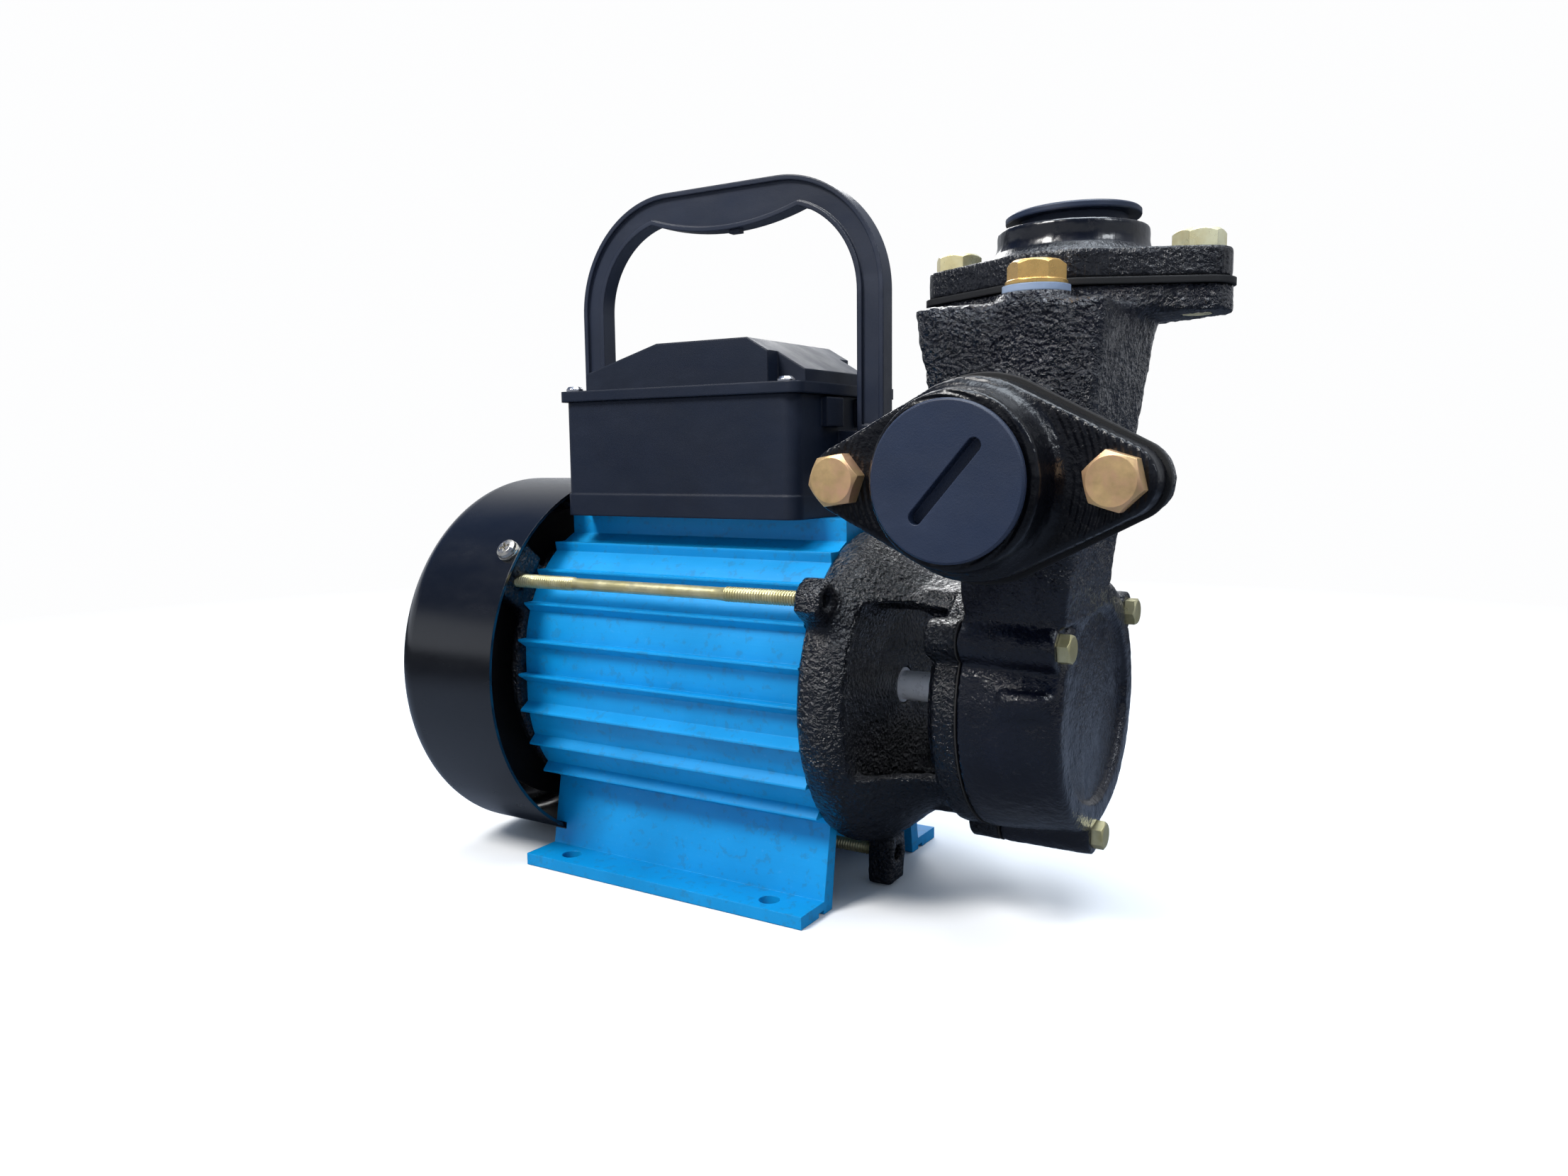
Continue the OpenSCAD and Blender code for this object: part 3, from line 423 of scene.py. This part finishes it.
CASING_SIDE_Y, FLANGE_SIDE_Y = -0.068, -0.07     # flat faces at the suction port
CASING_TOP_Z, FLANGE_TOP_Z = 0.1955, 0.1975      # flat faces at the delivery port
CASING_STEP_Z = 0.1923                           # flat step just below the top
CASING_JOINT_X, CASING_JOINT_TOP = 0.1073, 0.125
CASING_FLAT_X = 0.1366
BRACKET_JOINT_X = 0.1068
PORT_BORE = 0.0173            # machined radius in both flanges
BRACKET_BORE = 0.0235
SHIELD_BORE = 0.024
BOSS = (0.1283, -0.0366)      # x, y of the small round boss near the top of the casing
TOWER_Z = 0.112               # the rounded upper part of the casing starts here


def near(values, place, reach=0.0005):
    return np.abs(values - place) < reach


def axis_radius(y, z):
    return np.hypot(y, z - AXIS_Z)


def boss_radius(x, y):
    return np.hypot(x - BOSS[0], y - BOSS[1])


def tower_share(z, fade):
    return np.clip((z - TOWER_Z) / fade, 0, 1)


def casing_machined(x, y, z):
    flat = near(z, CASING_TOP_Z) | near(y, CASING_SIDE_Y) | near(z, CASING_STEP_Z)
    flat |= near(x, CASING_JOINT_X) & (z < CASING_JOINT_TOP)
    flat |= near(x, CASING_FLAT_X, reach=0.0004)
    return flat | (boss_radius(x, y) < 0.0075) & (z > 0.18)


def casing_soft(x, y, z):
    """The tower, short of its faces, port rim and boss; and a low pad on the -Y side."""
    soft = tower_share(z, fade=0.008) * ((z < 0.1908) & (y > -0.0585))
    soft = soft * ((z < 0.1868) | (np.hypot(x - PORT_X, y) > 0.0285) & (y < -0.012))
    soft = soft * ((boss_radius(x, y) > 0.0118) | (z < 0.188))
    pad = (x > 0.117) & (x < 0.138) & (y < -0.0405) & (z > 0.071) & (z < 0.084)
    return np.maximum(soft, pad)


def casing_coarse(x, y, z):
    return 1.5 * tower_share(z, fade=0.01) * (y > -0.058)


def casting(node, material, voxel, machined, lump, rounds, soft=None, coarse=None):
    """Rebuild a CAD piece with rounded edges and a lumpy skin.

    machined(x, y, z) is true where a face stays flat, soft is 1 where edges are rounded
    further, coarse is the extra share of lumps. lump is their height.
    """
    start, faces, edges = remeshed(node, voxel)
    free = 1.0 - machined(*start.T)
    verts = relax(start, edges, free, rounds)
    if soft:
        verts = relax(verts, edges, free * soft(*start.T), 44)
    normals = vertex_normals(verts, faces)
    heights = np.array([sum(weight * noise.noise(Vector(v) * frequency)
                            for frequency, weight in LUMPS) for v in verts])
    heights = heights * lump * free
    if coarse:
        heights = heights * (1.0 + coarse(*start.T))
    verts = verts + normals * heights[:, None]
    stand_in(mesh_object(node + "_cast", verts, faces, MATERIALS[material]), node)


casting("pump_casing", "cast_black", voxel=0.0008, machined=casing_machined,
        lump=0.00013, rounds=8, soft=casing_soft, coarse=casing_coarse)
casting("front_bracket", "cast_black_rough", voxel=0.0008, lump=0.00016, rounds=9,
        machined=lambda x, y, z: near(x, BRACKET_JOINT_X) | (axis_radius(y, z) < BRACKET_BORE))
casting("rear_end_shield", "cast_black_rough", voxel=0.0010, lump=0.0002, rounds=4,
        machined=lambda x, y, z: axis_radius(y, z) < SHIELD_BORE)
casting("suction_flange", "flange_rings", voxel=0.0006, lump=0.00008, rounds=5,
        machined=lambda x, y, z: near(y, FLANGE_SIDE_Y)
        | (np.hypot(x - PORT_X, z - SUCTION_Z) < PORT_BORE))
casting("delivery_flange", "flange_filed", voxel=0.0006, lump=0.00008, rounds=5,
        machined=lambda x, y, z: near(z, FLANGE_TOP_Z) | (np.hypot(x - PORT_X, y) < PORT_BORE))


# ------------------------------------------------------------------ studs with rolled threads
LUG_ANGLE = 35.0              # degrees above horizontal of the two upper studs
STUD_CIRCLE = 0.0598          # distance of the studs from the motor axis
STUD_SIDES = 18
THREAD_ENDS = (-0.0325, 0.0285)       # the plain shank lies between these x
THREAD_PITCH = 0.0010
THREAD_RADIUS, THREAD_DEPTH = 0.0025, 0.00055
SHANK_RADIUS = 0.0021
TIP_RADIUS, CHAMFER_RADIUS = 0.0019, 0.0022
CHAMFER = 0.0002              # length of the end chamfer
THREAD_INSET = 0.0005         # the thread starts this far from the end
THREAD_STEP, SHANK_STEP = 0.00015, 0.004


def threaded(x):
    return x < THREAD_ENDS[0] or x > THREAD_ENDS[1]


def stud_stations(start, end):
    stations = [start, start + CHAMFER]
    x = start + THREAD_INSET
    while x < end - THREAD_INSET:
        stations.append(x)
        x += THREAD_STEP if threaded(x) else SHANK_STEP
    return stations + [end - CHAMFER, end]


def stud_radius(x, turn):
    if not threaded(x):
        return SHANK_RADIUS
    phase = (x / THREAD_PITCH + turn) % 1.0
    return THREAD_RADIUS - THREAD_DEPTH * min(1.0, max(0.0, 2.6 * abs(phase - 0.5) - 0.15))


def studs():
    low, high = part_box("tie_rods")
    stations = stud_stations(low[0], high[0])
    last = len(stations) - 1
    ends = {0: TIP_RADIUS, 1: CHAMFER_RADIUS, last - 1: CHAMFER_RADIUS, last: TIP_RADIUS}
    verts, faces = [], []
    for degrees in (LUG_ANGLE, 180.0 - LUG_ANGLE, 270.0):
        angle = math.radians(degrees)
        centre_y = -STUD_CIRCLE * math.cos(angle)
        centre_z = AXIS_Z + STUD_CIRCLE * math.sin(angle)
        first = len(verts)
        for i, x in enumerate(stations):
            for k in range(STUD_SIDES):
                around = 2 * math.pi * k / STUD_SIDES
                radius = ends[i] if i in ends else stud_radius(x, k / STUD_SIDES)
                verts.append((x, centre_y + radius * math.cos(around),
                              centre_z + radius * math.sin(around)))
        for i in range(last):
            ring = first + i * STUD_SIDES
            for k in range(STUD_SIDES):
                k2 = (k + 1) % STUD_SIDES
                faces.append((ring + k, ring + k2, ring + STUD_SIDES + k2,
                              ring + STUD_SIDES + k))
        end_ring = first + last * STUD_SIDES
        faces.append(tuple(first + k for k in range(STUD_SIDES))[::-1])
        faces.append(tuple(end_ring + k for k in range(STUD_SIDES)))
    obj = mesh_object("tie_rods_threaded", verts, faces, MATERIALS["zinc_pale"])
    bm = bmesh.new()
    bm.from_mesh(obj.data)
    bmesh.ops.recalc_face_normals(bm, faces=bm.faces)
    bm.to_mesh(obj.data)
    bm.free()
    stand_in(obj, "tie_rods")


studs()

# ------------------------------------------------------------------ stage
BACKDROP = (0.985, 0.987, 0.992)
FLOOR_HALF, FLOOR_Z = 6.0, -0.0002


def floor_material():
    """Pale to the camera, darker in reflections; far out it takes the backdrop's colour."""
    m = new_material("floor_mat")
    rays = m.node("LightPath").outputs
    distance = m.node("VectorMath", {0: m.coords}, operation="LENGTH").outputs["Value"]
    reflected = m.mix(m.remap(distance, span=(0.32, 0.62)),
                      (0.085, 0.10, 0.13), (0.012, 0.014, 0.02))
    unseen = m.mix(rays["Is Glossy Ray"], (0.42, 0.42, 0.43), reflected)
    pale = m.ramp(m.noise(scale=6.0), [(0.3, (0.74, 0.74, 0.74)), (0.7, (0.77, 0.77, 0.77))])
    paper = m.node("BsdfPrincipled", {
        "Base Color": m.mix(rays["Is Camera Ray"], unseen, pale),
        "Roughness": 0.8, "Specular IOR Level": 0.1})
    fade = m.times(m.remap(distance, span=(0.30, 1.0)), rays["Is Camera Ray"])
    glow = m.node("Emission", {0: BACKDROP})
    return m.finish(m.node("MixShader", {0: fade, 1: paper.outputs[0], 2: glow.outputs[0]}))


corners = [(x * FLOOR_HALF, y * FLOOR_HALF, FLOOR_Z)
           for x, y in ((-1, -1), (1, -1), (1, 1), (-1, 1))]
mesh_object("floor", corners, [(0, 1, 2, 3)], floor_material(), smooth=False)

# upward part of the direction, sky colour
SKY = [
    (0.0, (0.10, 0.11, 0.14)), (0.05, (0.62, 0.66, 0.74)), (0.24, (0.50, 0.54, 0.62)),
    (0.34, (0.05, 0.08, 0.17)), (0.8, (0.07, 0.12, 0.26)), (1.0, (0.9, 1.1, 1.4)),
]


def world():
    """Backdrop for the camera, banded sky for reflections, bluish fill for other rays."""
    SCENE.world = bpy.data.worlds.new("world")
    w = Graph(SCENE.world, "OutputWorld", "Generated")
    _, y, z = w.xyz()

    def background(color, strength):
        return w.node("Background", {0: color, 1: strength}).outputs[0]

    # a grey wall on the +Y side, seen only in reflections
    wall = w.remap(y, span=(0.15, 0.55))
    sky = background(w.mix(wall, w.ramp(z, SKY), (0.46, 0.48, 0.52)), strength=0.9)
    fill = background((0.66, 0.80, 1.0), strength=0.8)
    rays = w.node("LightPath").outputs
    unseen = w.node("MixShader", {0: rays["Is Glossy Ray"], 1: fill, 2: sky}).outputs[0]
    w.finish(w.node("MixShader", {0: rays["Is Camera Ray"], 1: unseen,
                                  2: background(BACKDROP, strength=1.0)}))


world()


def area(name, place, size, power, color, target=(0.05, 0, 0.1)):
    light = bpy.data.lights.new(name, "AREA")
    light.shape = "RECTANGLE"
    light.size = light.size_y = size
    light.energy = power
    light.color = color
    obj = bpy.data.objects.new(name, light)
    SCENE.collection.objects.link(obj)
    obj.location = place
    aim = Vector(target) - Vector(place)
    obj.rotation_euler = aim.to_track_quat("-Z", "Y").to_euler()


area("key", place=(-0.30, -0.80, 1.10), size=0.40, power=21, color=(1.0, 0.98, 0.95),
     target=(0.03, 0, 0.08))
area("top", place=(0.25, 0.1, 1.5), size=0.9, power=21, color=(0.86, 0.93, 1.0))
area("side", place=(1.1, -0.2, 1.0), size=0.3, power=5, color=(0.92, 0.96, 1.0))
area("back", place=(-0.6, 1.0, 0.9), size=0.6, power=8, color=(1.0, 1.0, 1.0),
     target=(0.0, 0, 0.1))


def camera(place, yaw, pitch, roll, lens):
    """Angles in radians; at yaw 0 it looks along +Y, and yaw turns it towards -X."""
    forward = Vector((-math.sin(yaw) * math.cos(pitch), math.cos(yaw) * math.cos(pitch),
                      math.sin(pitch)))
    level = Vector((math.cos(yaw), math.sin(yaw), 0))
    upright = level.cross(forward)
    right = level * math.cos(roll) + upright * math.sin(roll)
    up = -level * math.sin(roll) + upright * math.cos(roll)
    pose = Matrix((right, up, -forward)).transposed().to_4x4()
    pose.translation = Vector(place)
    data = bpy.data.cameras.new("cam")
    data.sensor_width = 36.0
    data.sensor_fit = "HORIZONTAL"
    data.lens = lens
    data.clip_start = 0.01
    data.clip_end = 20
    obj = bpy.data.objects.new("cam", data)
    SCENE.collection.objects.link(obj)
    obj.matrix_world = pose
    SCENE.camera = obj


camera(place=(0.23675, -0.34574, 0.14887), yaw=0.55356, pitch=-0.1157, roll=-0.01083,
       lens=26.10651)
SCENE.view_settings.view_transform = "Standard"
SCENE.view_settings.look = "None"
